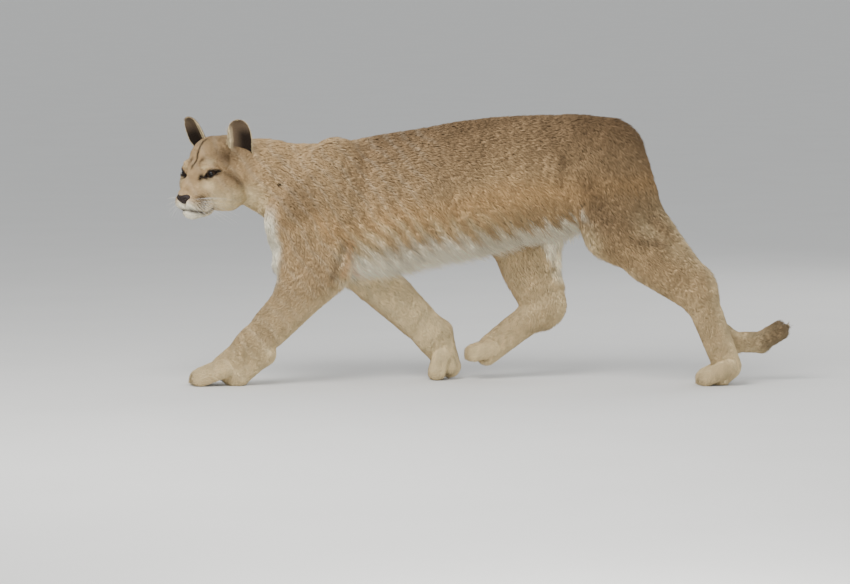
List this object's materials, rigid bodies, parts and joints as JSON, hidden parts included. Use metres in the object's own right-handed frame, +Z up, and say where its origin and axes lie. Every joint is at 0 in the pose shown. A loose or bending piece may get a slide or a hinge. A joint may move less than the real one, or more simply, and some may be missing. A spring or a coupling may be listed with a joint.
{
  "type": "cougar",
  "caption": "Life-size still model of a walking cougar, head turned to its left, one hind paw lifted.",
  "frame": {"origin": "on the floor, under the middle of the whole outline", "axes": "+Z up; the animal faces -X; its left side is towards -Y and its right side towards +Y"},
  "size_m": [1.6238, 0.3232, 0.7205],
  "materials": {
    "coat_tan": "dense short fur, grey-tan",
    "coat_pale": "short cream fur",
    "coat_brown": "dense short fur, grey-brown",
    "coat_ear": "very short dark fur, pale inside",
    "nose_leather": "bare, pebbled, slightly moist",
    "eye": "polished, dark"
  },
  "bodies": {
    "root": {"head": "coat_tan", "lower_jaw": "coat_pale", "nose": "nose_leather", "eye_left": "eye", "eye_right": "eye", "ear_left": "coat_ear", "ear_right": "coat_ear", "neck": "coat_tan", "chest": "coat_tan", "belly": "coat_tan", "rump": "coat_brown", "upper_arm_left": "coat_tan", "forearm_left": "coat_tan", "forepaw_left": "coat_pale", "upper_arm_right": "coat_tan", "forearm_right": "coat_tan", "forepaw_right": "coat_pale", "thigh_left": "coat_tan", "lower_leg_left": "coat_tan", "metatarsus_left": "coat_pale", "hindpaw_left": "coat_pale", "thigh_right": "coat_tan", "lower_leg_right": "coat_tan", "metatarsus_right": "coat_pale", "hindpaw_right": "coat_pale", "tail_root": "coat_tan", "tail_middle": "coat_tan", "tail_tip": "coat_brown"}
  },
  "joints": []
}
